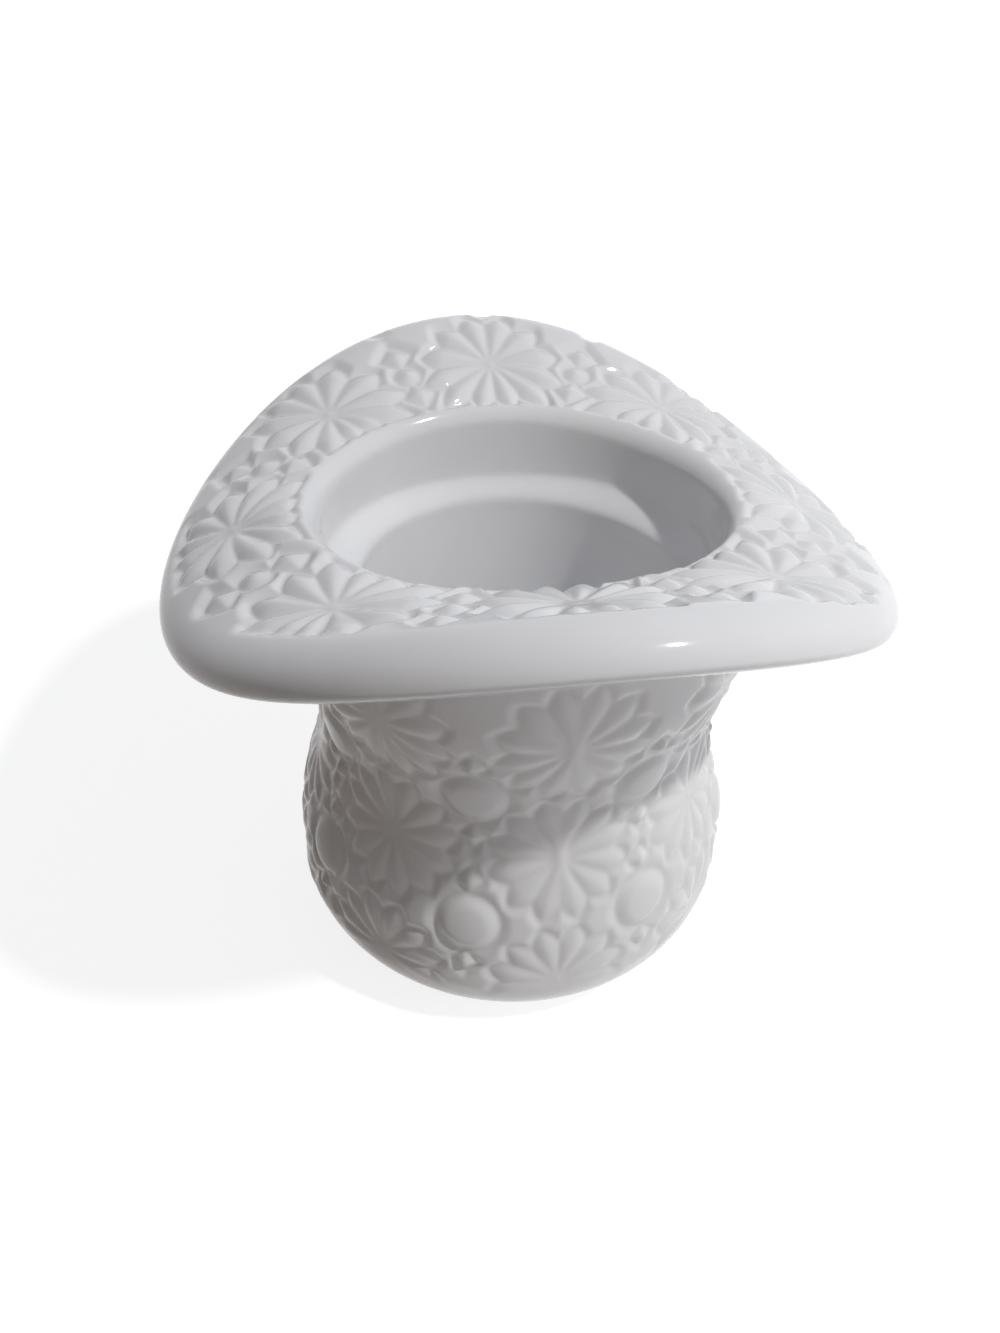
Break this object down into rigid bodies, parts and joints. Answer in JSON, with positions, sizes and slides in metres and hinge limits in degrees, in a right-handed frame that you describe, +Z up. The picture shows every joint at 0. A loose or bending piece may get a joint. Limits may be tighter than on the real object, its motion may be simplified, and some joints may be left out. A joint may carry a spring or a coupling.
{
  "type": "glass hat",
  "caption": "Small top hat of opaque white pressed glass that stands brim up as a holder, with stars and buttons in relief and a brim that dips at its ends.",
  "frame": {"origin": "centre of the flat foot, on the surface that the hat stands on", "axes": "+Z up along the hat's axis, +X along the brim toward one of its dipped ends, +Y toward one of its raised sides"},
  "size_m": [0.0859, 0.0846, 0.0708],
  "materials": {
    "milk_glass_plain": "opaque white glass, smooth and fire polished",
    "milk_glass_pressed": "opaque white glass, glossy as pressed in the mould",
    "milk_glass_relief": "opaque white glass, glossy, with softly rounded edges"
  },
  "bodies": {
    "root": {"foot": "milk_glass_plain", "crown_wall": "milk_glass_pressed", "mouth_collar": "milk_glass_plain", "brim": "milk_glass_pressed", "brim_lip": "milk_glass_plain", "crown_stars": "milk_glass_relief", "crown_buttons": "milk_glass_relief", "crown_studs": "milk_glass_relief", "brim_stars": "milk_glass_relief", "brim_buttons": "milk_glass_relief"}
  },
  "joints": []
}
